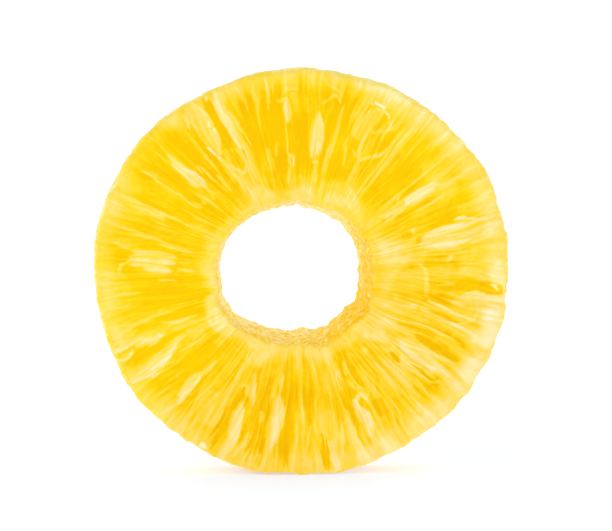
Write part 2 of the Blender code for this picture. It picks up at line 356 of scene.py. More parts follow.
        (0.9, 0.6, 0.3, 56.4, 36.6, 55.4, 43.6), (0.5, 0.66, 0.2, 59.8, 38.4, 57.2, 36.8),
        (3.2, 0.5, 1, 67.2, 31, 65.6, 38.8), (0.6, 0.54, 0.3, 53.6, 23.6, 53, 34.2),
        (0.5, 0.6, 0.2, 51, 24, 51.6, 30, 50.6, 38), (0.5, 0.6, 0.2, 67, 24.4, 70.4, 30.4),
        (0.6, 0.64, 0.2, 71.4, 27.4, 70.4, 31.2), (0.5, 0.6, 0.2, 71.4, 34.4, 70.8, 38.8),
        (1.2, 0.54, 0.4, 76.4, 37.4, 77.2, 44.6), (0.7, 0.86, 0.2, 83.8, 23.8, 80.2, 23.8),
        (0.7, 0.62, 0.3, 83.2, 18.6, 82.4, 23.4), (0.7, 0.62, 0.3, 79.9, 19.4, 81.2, 23),
        (0.6, 0.7, 0.2, 81.6, 36.4, 80, 38, 77.6, 38.6, 75.8, 37.4),
        (0.6, 0.66, 0.2, 83.6, 42.8, 80.4, 40.6, 76, 39.2), (0.7, 0.68, 0.3, 97.4, 19, 96, 22.6),
        (0.6, 0.78, 0.2, 95, 25, 95.8, 28.6, 94.9, 32.8),
        (0.5, 0.8, 0.2, 95.8, 22.4, 93, 22.6, 92.4, 24.4, 94.2, 25.4, 95.6, 24.2, 95.4, 22.6),
        (0.8, 0.74, 0.2, 0.3, 97.8, 37.2, 92.4, 37.8),
        (0.7, 0.68, 0.2, 95.4, 38.6, 93.4, 39.8, 90.2, 39.4), (0.6, 0.64, 0.2, 93.4, 38.6, 91, 38.6),
        (0.8, 0.7, 0.2, 0.3, 100.9, 35, 99.8, 43.4), (1, 0.52, 0.3, 104.2, 22.6, 104, 27.6),
        (0.8, 0.5, 0.3, 100.4, 25.2, 100.1, 28.8), (0.5, 0.56, 0.2, 105.2, 30.8, 104, 38, 104, 43),
        (0.6, 0.76, 0.2, 110.8, 29.2, 112, 33.4, 113.6, 38.2),
        (0.7, 0.78, 0.2, 122.6, 27.6, 120.8, 25.2, 119, 24.6, 116.2, 25.8),
        (1, 0.76, 0.3, 123.8, 20.6, 124, 26.4, 124.8, 30.6), (0.7, 0.76, 0.2, 124.8, 30, 123, 32.8),
        (0.6, 0.76, 0.2, 127.6, 38.4, 125.6, 42.4), (1, 0.6, 0.3, 133, 26.6, 133.8, 32),
        (1, 0.58, 0.3, 130.4, 22.8, 130.2, 27.6), (0.7, 0.62, 0.2, 139.4, 24, 138.4, 27.4),
        (0.4, 0.54, 0.2, 139.8, 36.8, 140.6, 40.8), (1.1, 0.56, 0.4, 144, 24.8, 143.8, 26.6),
        (1.1, 0.54, 0.4, 0.3, 146.6, 25, 147.2, 28.2), (0.5, 0.52, 0.2, 147, 28, 147.6, 33.6, 146.9, 37),
        (0.7, 0.62, 0.2, 147.4, 36.2, 146.8, 38.2, 147.2, 40.4),
        (1.6, 0.58, 0.5, 0.4, 157.8, 17.4, 157.1, 22, 157.1, 26.8),
        (0.7, 0.84, 0.4, 0.1, 157, 25.8, 156.7, 34, 156.4, 45),
        (2, 0.56, 1, 0.2, 157.9, 31, 157.4, 38, 157.2, 45.4), (0.5, 0.56, 0.2, 160.6, 29.6, 160.4, 34.4),
        (1, 0.62, 0.4, 0.3, 169.4, 23.4, 169, 28.2, 167, 33, 164.8, 44.2),
        (0.6, 0.64, 0.2, 172.4, 37.2, 170, 41.2), (0.7, 0.76, 0.2, 180.8, 38.6, 178, 38.6, 176.2, 36.6),
        (0.6, 0.58, 0.2, 178.8, 22.4, 177.6, 26.6), (0.6, 0.58, 0.2, 175.2, 23.4, 175, 26.6),
        (0.6, 0.74, 0.2, 184.4, 26.6, 183.2, 30.4), (0.9, 0.7, 0.2, 0.3, 187.4, 34, 186.9, 44.4),
        (0.6, 0.6, 0.3, 191.2, 37, 191, 44), (0.7, 0.66, 0.2, 0.3, 197.4, 27.4, 197.2, 36, 196.5, 44.4),
        (0.6, 0.62, 0.2, 199.6, 36.6, 199.4, 44),
        (0.7, 0.76, 0.3, 0.1, 203.2, 23.8, 202, 27.8, 200, 32.6),
        (0.8, 0.58, 0.3, 208.4, 20.8, 205.4, 25.4, 203.8, 30.6),
        (0.7, 0.92, 0.1, 0.2, 204.8, 40, 206.8, 41.6, 205.6, 44.4),
        (0.6, 0.72, 0.2, 214, 24, 214.8, 27.2, 214.4, 30.8), (0.4, 0.6, 0.2, 215, 32.6, 214.8, 38.4),
        (0.5, 0.58, 0.2, 221.4, 37.4, 221, 42.6), (0.8, 0.66, 0.3, 226.6, 26.2, 226.3, 31.4),
        (0.8, 0.7, 0.3, 226.8, 38.4, 225.4, 43.8), (0.5, 0.66, 0.2, 230.8, 31, 231.3, 36.4, 230.4, 43.6),
        (0.4, 0.6, 0.2, 232.4, 37.4, 232.6, 44), (0.5, 0.58, 0.2, 237.6, 30.2, 234.8, 32.2, 231.2, 32.6),
        (4.6, 0.46, 1.6, 239.2, 29.4, 238.8, 39), (0.6, 0.72, 0.2, 252.4, 36.6, 252, 40, 249, 44.2),
        (0.8, 0.62, 0.3, 245.4, 26.6, 246.8, 29.4), (0.6, 0.66, 0.2, 247.6, 27, 244.6, 27.4, 242, 28.4),
        (0.8, 0.56, 0.3, 254.6, 31.6, 255.6, 34.2), (0.5, 0.88, 0.1, 260.5, 21.4, 260.6, 24.6, 261, 29),
        (0.8, 0.74, 0.3, 0.2, 260.2, 37.6, 259.4, 44.2), (0.6, 0.64, 0.3, 0.2, 262.6, 37.2, 263.2, 42.2),
        (0.6, 0.7, 0.2, 268.9, 32.6, 267.8, 44.4),
        (0.5, 0.6, 0.2, 270.6, 26.6, 271.2, 33.4, 270.8, 40.4),
        (0.7, 0.7, 0.2, 274.2, 33.6, 273, 37.6, 270.6, 41.4), (1, 0.58, 0.3, 276.8, 28, 276.2, 36.4),
        (0.7, 0.78, 0.2, 0.1, 285.6, 34.2, 284.2, 38, 282.8, 42.8),
        (0.6, 0.7, 0.2, 0.1, 284.2, 31.6, 282.6, 36.6, 281.6, 39.6),
        (3, 0.46, 0.9, 281.2, 30.6, 281, 38), (0.6, 0.62, 0.2, 284, 22.6, 284.6, 28.8),
        (1.5, 0.6, 0.4, 0.3, 287.8, 31.6, 287.2, 38, 286.4, 44.2),
        (0.9, 0.62, 0.3, 290.6, 22.8, 291.4, 25.6), (1, 0.74, 0.3, 0.2, 294.2, 38.2, 294, 44.4),
        (0.7, 0.64, 0.2, 295.8, 29.2, 293, 25.8), (0.6, 0.6, 0.2, 296.4, 22, 294.4, 24.8),
        (0.7, 0.58, 0.3, 299.8, 24.6, 301.2, 28, 299.4, 31.2),
        (0.6, 0.6, 0.3, 303, 25.6, 303.4, 29.6, 301, 31.8),
        (0.6, 0.66, 0.2, 306.2, 33.4, 304.8, 38.4, 303, 42),
        (0.6, 0.64, 0.2, 303.6, 33.8, 302.6, 37.6, 300.6, 41.6),
        (0.9, 0.6, 0.3, 309.2, 26, 310, 31, 310.6, 37.4), (1.1, 0.54, 0.4, 308, 28.4, 307.6, 35),
        (1, 0.6, 0.3, 309.8, 21.6, 308.4, 23.8), (0.7, 0.62, 0.3, 312.4, 25.4, 312.8, 38.4),
        (0.5, 0.58, 0.2, 314.6, 27, 314.2, 36), (0.7, 0.7, 0.2, 316.6, 36, 315.4, 43.6),
        (0.6, 0.72, 0.2, 0.1, 317.8, 29.4, 318.7, 34, 321.2, 39.2),
        (0.5, 0.66, 0.2, 0.1, 320, 31.6, 322, 36.6), (1, 0.78, 0.3, 325.2, 25.4, 326, 28.6),
        (0.8, 0.72, 0.3, 0.2, 326.8, 27.4, 327.8, 33, 328.6, 40.4),
        (0.4, 0.64, 0.2, 330, 30.2, 327.4, 27.4),
        (0.6, 0.8, 0.1, 0.2, 335.4, 27, 336.3, 31, 335.6, 38.8),
        (0.6, 0.62, 0.2, 339.8, 33.4, 338.6, 37.4), (0.6, 0.6, 0.2, 342.4, 27.4, 341, 31),
        (0.9, 0.88, 0.3, 341.4, 24, 342.6, 27), (0.6, 0.86, 0.1, 0.2, 346.8, 28.8, 345.3, 32, 344, 39),
        (0.9, 0.88, 0.3, 348.4, 33.8, 348.1, 37), (0.5, 0.64, 0.2, 347.6, 36.2, 348.2, 43),
        (0.7, 0.74, 0.2, 350.4, 39.4, 347, 40, 344, 39.2, 341.4, 36.6),
        (0.9, 0.84, 0.2, 0.3, 361.4, 27, 356.6, 27.8, 348.6, 28.4),
        (0.5, 0.58, 0.2, 354.4, 29.8, 355.2, 34.2), (0.9, 0.66, 0.3, 347.2, 21.2, 343.6, 22.4),
    ),
    # wet, torn bits, their shine painted as nearly white highlights
    "paintedGlints": (
        (0.5, 1.3, 0.1, 66.8, 39.8, 64.4, 40.2, 62.2, 39.9),
        (0.5, 1.25, 0.1, 64.4, 39.1, 61.8, 39.2, 59.6, 38.4), (0.4, 1.15, 0.1, 125.6, 31.2, 126.3, 33.8),
        (0.5, 1.15, 0.1, 120.2, 24.7, 118.2, 24.7), (0.4, 1.05, 0.1, 125.2, 29.4, 124.4, 30.2),
        (0.7, 0.98, 0.2, 120.8, 34.6, 120.6, 36.2), (0.7, 0.98, 0.2, 121.5, 36.8, 121.1, 38.2),
        (0.6, 1.2, 0.1, 0.3, 356, 41.8, 355.6, 42.8, 354.4, 43.9),
        (1.3, 1.1, 0.1, 242.4, 43.4, 241.2, 43.1, 240, 42.9), (0.6, 1, 0.2, 118.4, 42.2, 117.8, 43.6),
        (0.7, 1.05, 0.2, 65.6, 43.6, 62.4, 43.8), (0.5, 1.1, 0.1, 357.6, 44.7, 353.6, 45),
        (0.6, 1, 0.1, 0.2, 204.9, 33, 203.6, 33.5),
    ),
}

# The pale flesh that was next to the core runs out between the fibres in lobes:
# angle, half width in degrees, mm past the usual edge
coreLobes = (
    (6, 10, 4.6), (50, 12, 1.6), (84, 5, 0.8), (118, 6, 3.4), (157, 3, 1.5), (173, 7, 0.8),
    (209, 6, 3.0), (246, 8, 2.6), (281, 7, 1.6), (302, 7, 0.8), (321, 5, 6.0), (343, 9, 1.6),
)

# How a mark is laid: bluntness of its ends, how far the fibres fray its edges, lines inside it,
# its strength, the bright line within a crisp edge as a painted highlight, the golden gutter outside it,
# and the relief in mm of that gutter's lip and of the mark
plainMark = {"adds": False, "blunt": 0.40, "fray": 0.6, "grain": 0.0, "strength": 1.0,
             "edge": 0.0, "gutter": 0.0, "lip": 0.0, "relief": 0.0}
markKinds = {
    "clouds": {**plainMark, "adds": True, "fray": 0.5},
    "hollows": {**plainMark, "blunt": 0.45, "fray": 1.6, "grain": 0.16, "strength": 0.8, "relief": -0.16},
    "chambers": {**plainMark, "blunt": 0.55, "fray": 1.5, "grain": 0.40, "strength": 0.92, "edge": 0.10,
                 "gutter": 0.12, "lip": 0.05, "relief": -0.14},
    "strands": {**plainMark, "fray": 0.9, "grain": 0.30, "strength": 0.85, "gutter": 0.05, "relief": 0.05},
    "paintedGlints": {**plainMark, "grain": 0.20, "relief": 0.16},
}
markEdges = {
    "steps": 14,  # straight steps that a mark's curve is read in
    "leastSoft": 0.15,  # mm of softness that every edge has
    "softer": 1.4,  # times the softness that is given
    "crispBelow": 0.5,  # mm: softer edges have no bright line and no gutter
    "deepest": -0.15,  # paleness that the flesh and its soft patches don't go below
}


def smoothCurve(places, steps):
    # Places (angle, reach, angle, reach ...) made plane points, and a smooth curve through them:
    # on each stretch the cubic whose ends point along the line between the neighbours (Catmull
    # and Rom's)
    turn, out = np.radians(places[0::2]), np.array(places[1::2], float)
    ends = np.stack([out * np.cos(turn), out * np.sin(turn)], axis=1)
    padded = np.concatenate([2 * ends[:1] - ends[1:2], ends, 2 * ends[-1:] - ends[-2:-1]])
    t = np.linspace(0, len(ends) - 1, steps + 1)
    i = np.minimum(t.astype(int), len(ends) - 2)
    f = (t - i)[:, None]
    a, b, c, d = (padded[i + k] for k in range(4))
    bend = (2 * a - 5 * b + 4 * c - d) * f**2 + (3 * b - a - 3 * c + d) * f**3
    return 0.5 * (2 * b + (c - a) * f + bend)


def alongCurve(x, z, curve):
    # For each place: how far along the curve its nearest point is, from 0 to 1, and how far off
    # it is in mm, positive to the left of the way out
    first, step = curve[:-1], np.diff(curve, axis=0)
    dx, dz = x[:, None] - first[:, 0], z[:, None] - first[:, 1]
    share = np.clip((dx * step[:, 0] + dz * step[:, 1]) / (step**2).sum(axis=1), 0, 1)
    off = np.hypot(dx - share * step[:, 0], dz - share * step[:, 1])
    nearest = off.argmin(axis=1)
    rows = np.arange(len(x))
    side = np.sign(step[nearest, 0] * dz[rows, nearest] - step[nearest, 1] * dx[rows, nearest])
    return (nearest + share[rows, nearest]) / len(step), off[rows, nearest] * side


def layMark(fields, ground, mark, kind):
    # Blends one mark into paleness and relief: full inside its outline and nothing outside it,
    # through its own softness on each side. The fibres fray its edges and show inside it.
    width, tone, *rest = mark
    softs = 2 - len(rest) % 2
    softLeft = markEdges["leastSoft"] + markEdges["softer"] * rest[0]
    softRight = markEdges["leastSoft"] + markEdges["softer"] * rest[softs - 1]
    pale, relief = fields
    curve = smoothCurve(rest[softs:], markEdges["steps"])
    margin = width + 1.0
    low, high = curve.min(axis=0) - margin, curve.max(axis=0) + margin
    x, z = ground["x"], ground["z"]
    near = (x > low[0]) & (x < high[0]) & (z > low[1]) & (z < high[1])
    if not near.any():
        return
    along, off = alongCurve(x[near], z[near], curve)
    broad, fine = ground["broad"][near], ground["fine"][near]
    half = width / 2 * np.sin(np.pi * np.clip(along, 0.004, 0.996)) ** kind["blunt"]
    fray = kind["fray"] * (0.5 * (broad - 0.5) + 0.5 * (fine - 0.5))
    left, right = half - off, half + off
    cover = between(left + fray * (softLeft + 0.25), -softLeft / 2, softLeft / 2)
    cover = cover * between(right - fray * (softRight + 0.25), -softRight / 2, softRight / 2)
    ends = ((along <= 0.001) | (along >= 0.999)) * between(np.abs(off), 0.0, 0.3)
    cover = cover * (1 - ends) * kind["strength"]
    if kind["adds"]:
        pale[near] = np.maximum(pale[near] + cover * tone, markEdges["deepest"])
        return
    inside = kind["grain"] * (fine - 0.5) + 0.7 * kind["grain"] * (broad - 0.5)
    crisp = 0.0
    for soft, distance in ((softLeft, left), (softRight, right)):
        if soft <= markEdges["crispBelow"] and width > 0.9:
            # a painted highlight along the crisp edge
            crisp = crisp + kind["edge"] * np.exp(-((distance - 0.25) / 0.3) ** 2)
            gutter = np.exp(-((distance + 0.45) / 0.35) ** 2) * np.sin(np.pi * np.clip(along, 0, 1))
            pale[near] -= kind["gutter"] * gutter
            relief[near] += kind["lip"] * gutter
    pale[near] = pale[near] * (1 - cover) + cover * (tone + inside + crisp)
    relief[near] += kind["relief"] * cover * (0.6 + 0.8 * fine)


fibreLook = {
    # cells in a turn, length in mm, and then degrees of bend, paleness, or thickness as a share
    # of the distance between two threads
    "bends": ((26, 11.0, 2.6), (64, 6.0, 1.3)),
    "streaks": (
        (40, 19.0, 0.28), (92, 13.0, 0.34), (190, 10.0, 0.30), (380, 8.0, 0.38), (640, 5.0, 0.34),
    ),
    "threads": ((90, 9.0, 0.12), (150, 12.0, 0.16), (230, 8.0, 0.22)),
    "threadPaleness": 0.20,
    "streakRelief": 0.22,  # mm for each 1 of paleness
    "threadRelief": 0.05,  # mm
}


def fibreFields(angle, reach, seed):
    # Streaks of every width along the fibres, as paleness around 0 and relief in mm, with the
    # broad and the fine streaks by themselves, from 0 to 1
    look = fibreLook
    bent = angle
    for i, (cells, length, degrees) in enumerate(look["bends"]):
        bent = bent + degrees * (cellNoise(angle, reach, cells, length, seed + i) - 0.5)
    layers = []
    pale = 0.0
    for i, (cells, length, strength) in enumerate(look["streaks"]):
        layers.append(cellNoise(bent, reach, cells, length, seed + 10 + i))
        pale = pale + strength * (layers[i] - 0.5)
    vigour = 0.5 + cellNoise(angle, reach, 22, 8.0, seed + 40)
    pale = pale * vigour
    relief = look["streakRelief"] * pale
    for i, (cells, length, thin) in enumerate(look["threads"]):
        # thin threads, where a soft field crosses its middle value
        field = cellNoise(bent, reach, cells, length, seed + 20 + i)
        thread = np.clip(1 - np.abs(field - 0.5) / thin * 2, 0, 1)
        thread = thread * between(cellNoise(bent, reach, 70, 6.0, seed + 30 + i), 0.45, 0.8)
        pale = pale + look["threadPaleness"] * thread * vigour
        relief = relief + look["threadRelief"] * thread
    return pale, relief, layers[3], layers[4]


def planeOf(angle, reach):
    turn = np.radians(angle)
    return reach * np.cos(turn), reach * np.sin(turn)


def groundOf(x, z, broad, fine, seed):
    # Plane places for the marks, bent a little so that no outline is smooth
    bendX = 0.6 * (planeNoise(x, z, 2.6, seed) - 0.5) + 0.20 * (planeNoise(x, z, 0.9, seed + 1) - 0.5)
    bendZ = 0.6 * (planeNoise(x, z, 2.6, seed + 2) - 0.5) + 0.20 * (planeNoise(x, z, 0.9, seed + 3) - 0.5)
    return {"x": x + bendX, "z": z + bendZ, "broad": broad, "fine": fine}


frontLook = {
    "ground": 0.16,  # paleness between the marks
    "paleAndLitToRight": 0.08,  # how much paler it is to the right, and deeper to the left: partly the flesh and partly painted light from the right
    "corePaleness": 0.48,  # of the soft flesh round the hole
    "coreDepth": 2.6,  # mm
    "skinPaleness": 0.50,  # of the flesh that lay under the peel
    "skinDepth": 3.0,  # mm
}


def frontFields(angle, reach, fromHole, fromRim):
    # Paleness (0 deep golden, 1 cream) and relief in mm over the front face
    look = frontLook
    x, z = planeOf(angle, reach)
    fibre, relief, broad, fine = fibreFields(angle, reach, 11)
    patch = planeNoise(x, z, 5.0, 61) - 0.5
    grain = planeNoise(x, z, 0.9, 62) - 0.5
    # paler to the right, partly paler flesh and partly painted light from the right
    paleAndLitToRight = np.cos(np.radians(angle + 20))
    pale = look["ground"] + look["paleAndLitToRight"] * paleAndLitToRight + fibre + 0.16 * patch + 0.10 * grain
    edge = look["coreDepth"] + sidesOf(angle, coreLobes)
    edge = edge + 1.6 * (cellNoise(angle, reach, 90, 3.0, 63) - 0.5)
    core = between(edge - fromHole, -1.1, 1.5)
    pale = pale * (1 - 0.7 * core) + core * (look["corePaleness"] + 0.14 * patch + 0.16 * grain)
    depth = look["skinDepth"] + 1.6 * cellNoise(angle, reach, 120, 9.0, 64) + 1.8 * np.clip(paleAndLitToRight, 0, 1)
    skin = between(depth - fromRim, -2.2, 2.6)
    pale = pale * (1 - 0.5 * skin) + skin * (look["skinPaleness"] + 0.10 * paleAndLitToRight + 0.16 * patch)
    ground = groundOf(x, z, broad, fine, 71)
    fields = (np.maximum(pale, markEdges["deepest"]), np.array(relief))
    for kind, laid in markKinds.items():
        for mark in frontMarks[kind]:
            layMark(fields, ground, mark, laid)
    return fields


backLook = {
    "ground": 0.28,
    "corePaleness": 0.45,
    "coreDepth": 3.4,  # mm
    "skinPaleness": 0.24,  # added under the peel
    "skinDepth": 4.0,  # mm
    "fruitlets": 21,  # that the cut crosses on its way round
}


def backFields(angle, reach, fromHole, fromRim):
    # The same sort of flesh, its chambers set out one to a fruitlet
    look = backLook
    x, z = planeOf(angle, reach)
    fibre, relief, broad, fine = fibreFields(angle, reach, 211)
    patch = planeNoise(x, z, 5.0, 261) - 0.5
    pale = look["ground"] + fibre + 0.16 * patch
    edge = look["coreDepth"] + 3.4 * cellNoise(angle, reach, 14, 30.0, 262)
    core = between(edge - fromHole, -0.9, 1.3)
    pale = pale * (1 - 0.75 * core) + core * (look["corePaleness"] + 0.14 * patch)
    pale = pale + look["skinPaleness"] * between(look["skinDepth"] - fromRim, -1.6, 2.6)
    ground = groundOf(x, z, broad, fine, 271)
    fields = (np.array(pale), np.array(relief))
    draw = np.random.default_rng(57)
    for i in range(look["fruitlets"]):
        at = 360 * (i + draw.uniform(-0.25, 0.25)) / look["fruitlets"]
        inner = draw.uniform(26, 31)
        outer = inner + draw.uniform(7, 12)
        lean = draw.uniform(-2, 2)
        soft = draw.uniform(0.2, 0.9, 2)
        middle = at + lean / 2 + draw.uniform(-1, 1)
        width, tone = draw.uniform(1.2, 2.8), draw.uniform(0.6, 0.9)
        chamber = (width, tone, *soft, at, inner, middle, (inner + outer) / 2, at + lean, outer)
        tail = (0.6, 0.6, 0.2, at, inner - draw.uniform(3, 6), at, inner + 0.6)
        gap = at + 180 / look["fruitlets"]
        hollow = (1.4, 0.0, 0.5, gap, inner - 1, gap + lean, outer + 1)
        layMark(fields, ground, chamber, markKinds["chambers"])
        layMark(fields, ground, tail, markKinds["strands"])
        layMark(fields, ground, hollow, markKinds["hollows"])
    return fields


def layersOf(angle, run, layers):
    # The sum of soft random layers around 0: cells in a turn, length in mm, height, seed
    return sum(height * (cellNoise(angle, run, cells, length, seed) - 0.5)
               for cells, length, height, seed in layers)


def surfaceOf(body, size, rows, columns):
    # Places and finish fields of some of the section's rows at that many columns
    across, inset, depth, facing = rows.T
    turn = np.arange(columns) * 360.0 / columns
    angle = np.repeat(turn[:, None], len(rows), axis=1)
    depthAll = np.repeat(depth[None, :], columns, axis=0)
    run = depthAll + 12  # mm, positive all the way through the slice
    rim = size["rim"](angle, depthAll) + sidesOf(angle, body["rimBumps"])
    rim = rim + layersOf(angle, run, body["rimLumps"])
    wall = size["wall"](angle, depthAll) + sidesOf(angle, body["wallBumps"])
    wall = wall + layersOf(angle, run, body["wallLumps"])
    reach = wall * (1 - across) + rim * across + inset
    way = np.radians(facing)
    weights = {
        "front": np.clip(np.cos(way), 0, 1) ** 2,
        "rim": np.clip(np.sin(way), 0, 1) ** 2,
        "back": np.clip(-np.cos(way), 0, 1) ** 2,
        "wall": np.clip(-np.sin(way), 0, 1) ** 2,
    }
    turns = np.radians(angle)
    out = np.stack([np.cos(turns), np.zeros_like(turns), np.sin(turns)], axis=-1)
    normal = out * np.sin(way)[:, None] - np.array([0.0, 1.0, 0.0]) * np.cos(way)[:, None]

    pale, relief = np.zeros_like(angle), np.zeros_like(angle)
    for side, fieldsOf in (("front", frontFields), ("back", backFields)):
        if weights[side].any():
            part, height = fieldsOf(angle, reach, reach - wall, rim - reach)
            pale, relief = pale + weights[side] * part, relief + weights[side] * height
    # the trimmed rim: shallow knife facets, lumps, and the cut ends of fibres
    pale = pale + weights["rim"] * (body["rimPaleness"] + layersOf(angle, run, body["rimTones"]))
    relief = relief + weights["rim"] * (layersOf(angle, run, body["rimRelief"]) - 0.03)
    # the cored wall: grains that lie round it, deeper in colour behind the lip, paler at the back as
    # painted glow of light through the flesh, with painted light and shade round its sides
    toBack = between(depthAll, -size["half"] - 1.0, size["half"])
    atFront, atBack = body["wallPaleAndBackGlow"]
    wallPaleAndPaintedLight = atFront + (atBack - atFront) * toBack + layersOf(angle, run, body["wallTones"])
    wallPaleAndPaintedLight = wallPaleAndPaintedLight + sidesOf(angle, body["paintedLightOnWall"])
    pale = pale + weights["wall"] * wallPaleAndPaintedLight
    relief = relief + weights["wall"] * layersOf(angle, run, body["wallRelief"])

    places = np.stack([reach * np.cos(turns), depthAll, reach * np.sin(turns)], axis=-1)
    places = places + normal * relief[..., None]
    places = places + np.array([size["heart"][0], size["middle"][1], size["heart"][1]])
    spare = body["overBox"]
    places = np.clip(places, size["low"] - [spare, spare, 0], size["high"] + spare)
    onFace = (weights["front"] + weights["back"])[None, :]
    onWall = weights["wall"][None, :]
    along = reach * 0.12 * onFace + depthAll * 1.3 * (1 - onFace)
    along = along * (1 - onWall) + 1.5 * depthAll * onWall
    spread = 30 * onFace + 22 * weights["rim"][None, :] + 7 * onWall
    patch = planeNoise(places[..., 0], places[..., 2] + 0.7 * places[..., 1], 4.0, 97)
    return {
        "places": places * mm,
        "paleness": pale,
        "coredWall": np.repeat(onWall, columns, axis=0),
        # warmer hue with painted shade towards the bottom and lower right, and random patches
        "warmthAndShade": body["warmthAndShade"] + sidesOf(angle, body["warmAndShadedSides"]) + 0.7 * (patch - 0.5),
        # wet on the faces; the torn wall, the rim and their edges hardly shine
        "wetness": np.repeat(0.05 + 0.95 * between(onFace, 0.3, 1.0), columns, axis=0),
        "fibreWay": np.stack([np.cos(turns) * spread, along, np.sin(turns) * spread], axis=-1),
    }


def makeRing(body, size):
    rows, frontCount = sectionOf(body, size["half"])
    fine = surfaceOf(body, size, rows[:frontCount], body["columns"])
    coarse = surfaceOf(body, size, rows[frontCount:], body["columns"] // body["coarser"])
    return joinedMesh("pineappleFlesh", fine, coarse, body["coarser"])


def gridFaces(index):
    # Quads over a grid of vertex numbers that closes round the ring, as rows of four
    following = np.roll(index, -1, axis=0)
    quads = np.stack([index[:, :-1], index[:, 1:], following[:, 1:], following[:, :-1]], axis=-1)
    return quads.reshape(-1, 4)


def joinedMesh(name, fine, coarse, ratio):
    # A closed skin: a fine grid for the front and a coarser one for the rest, joined along both
    # edges by faces that have one coarse side and as many fine sides as the ratio
    around, fineRows = fine["places"].shape[:2]
    coarseAround, coarseRows = coarse["places"].shape[:2]
    a = np.arange(around * fineRows).reshape(around, fineRows)
    b = np.arange(coarseAround * coarseRows).reshape(coarseAround, coarseRows) + a.size
    fineNear = (np.arange(coarseAround)[:, None] * ratio + np.arange(ratio + 1)) % around
    coarseNext = np.roll(b, -1, axis=0)
    atRim = np.concatenate([a[fineNear, -1][:, ::-1], b[:, :1], coarseNext[:, :1]], axis=1)
    atLip = np.concatenate([a[fineNear, 0], coarseNext[:, -1:], b[:, -1:]], axis=1)
    faces = [gridFaces(a), gridFaces(b), atRim, atLip]
    corners = np.concatenate([f.ravel() for f in faces])
    counts = np.concatenate([np.full(len(f), f.shape[1]) for f in faces])
    starts = np.concatenate([[0], np.cumsum(counts)[:-1]])
    places = np.concatenate([fine["places"].reshape(-1, 3), coarse["places"].reshape(-1, 3)])
    mesh = bpy.data.meshes.new(name)
    mesh.vertices.add(len(places))
    mesh.vertices.foreach_set("co", places.ravel())
    mesh.loops.add(len(corners))
    mesh.loops.foreach_set("vertex_index", corners)
    mesh.polygons.add(len(counts))
    mesh.polygons.foreach_set("loop_start", starts)
    mesh.polygons.foreach_set("use_smooth", np.ones(len(counts), bool))
    mesh.update(calc_edges=True)

    # the map: two half turns, one above the other, with the section's true length across
    outlines = []
    for part in (fine, coarse):
        reach = np.hypot(part["places"][..., 0], part["places"][..., 2] - part["places"][..., 2].mean())
        outlines.append(np.stack([reach.mean(axis=0), part["places"][..., 1].mean(axis=0)], axis=1))
    path = np.concatenate([outlines[0], outlines[1], outlines[0][:1]])
    run = np.concatenate([[0], np.cumsum(np.hypot(*np.diff(path, axis=0).T))])
    run /= run[-1]
    turnOf = np.concatenate([np.repeat(np.arange(around) / around, fineRows),
                             np.repeat(np.arange(coarseAround) / coarseAround, coarseRows)])
    runOf = np.concatenate([np.tile(run[:fineRows], around), np.tile(run[fineRows:-1], coarseAround)])
    face = np.repeat(np.arange(len(counts)), counts)
    u, v = turnOf[corners], runOf[corners]
    lowest = np.minimum.reduceat(u, starts)
    highest = np.maximum.reduceat(u, starts)
    u = np.where((highest - lowest > 0.5)[face] & (u < 0.5), u + 1, u)
    v = np.where((face >= len(counts) - coarseAround) & (v < 0.1), v + 1, v)
    strip = (np.add.reduceat(u, starts) / counts > 0.5).astype(float)[face]
    layer = mesh.uv_layers.new(name="OFBake")
    across = 0.005 + 0.98 * (2 * u - strip)
    upward = 0.005 + 0.485 * v + 0.5 * strip
    layer.uv.foreach_set("vector", np.stack([across, upward], axis=-1).ravel())

    for label in ("paleness", "coredWall", "warmthAndShade", "wetness", "fibreWay"):
        isVector = fine[label].ndim == 3
        values = np.concatenate([fine[label].ravel(), coarse[label].ravel()])
        attribute = mesh.attributes.new(label, "FLOAT_VECTOR" if isVector else "FLOAT", "POINT")
        attribute.data.foreach_set("vector" if isVector else "value", values)
    made = bpy.data.objects.new(name, mesh)
    bpy.context.scene.collection.objects.link(made)
    return made


fleshLook = {
    # sRGB colours along paleness, from deep golden flesh to the skin of the seed chambers
    "tones": (
        (0.00, (250, 207, 0)),
        (0.10, (251, 210, 2)),
        (0.22, (252, 213, 18)),
        (0.36, (252, 217, 46)),
        (0.54, (252, 221, 80)),
        (0.74, (253, 227, 120)),
        (1.00, (253, 238, 174)),
    ),
    "wallTones": (
        (0.00, (247, 200, 14)),
        (0.25, (249, 212, 52)),
        (0.45, (251, 222, 94)),
        (0.70, (253, 233, 140)),
        (1.00, (255, 244, 192)),
    ),
    # noise: scale, detail, roughness
    "fibre": (2.2, 3.0, 0.6),
    "juiceCells": (900.0, 2.0, 0.5),
    "softClouds": (160.0, 3.0, 0.5),
    # what they add to paleness, and an even shift that centres them
    "fibreTone": 0.40,
    "cellTone": 0.22,
    "cloudTone": 0.20,
    "toneShift": -0.387,
    "wallFibreTone": 5.2,  # the wall's flecks are these fibres too, much stronger
    "warmAndShadeTint": (0.98, 0.93, 0.94, 1.0),  # what the warmer sides are multiplied by, for their warmer hue and their painted shade
    "deepStreakShadeTint": (0.95, 0.88, 0.90, 1.0),  # and, once more, the deepest streaks on those sides, as painted shade
    "brownTint": (0.86, 0.74, 0.40, 1.0),  # and the browned streaks
    "paintedGlintWhite": (255, 252, 232),  # painted highlight of the torn, shining bits, past paleness 1
    # share of each as paleness times a factor, with a number added
    "deepShare": (-3.4, 1.0),
    "brownShare": (-5.0, -1.1),
    "paintedGlintShare": (4.0, -4.2),
    "bumpHeight": 0.00012,  # m
    "bumpStrength": 0.7,
    "roughness": 0.28,
    "specular": 0.06,
    "ior": 1.36,
    "subsurface": 0.5,
    "subsurfaceRadius": (1.2, 0.9, 0.25),  # mm
}


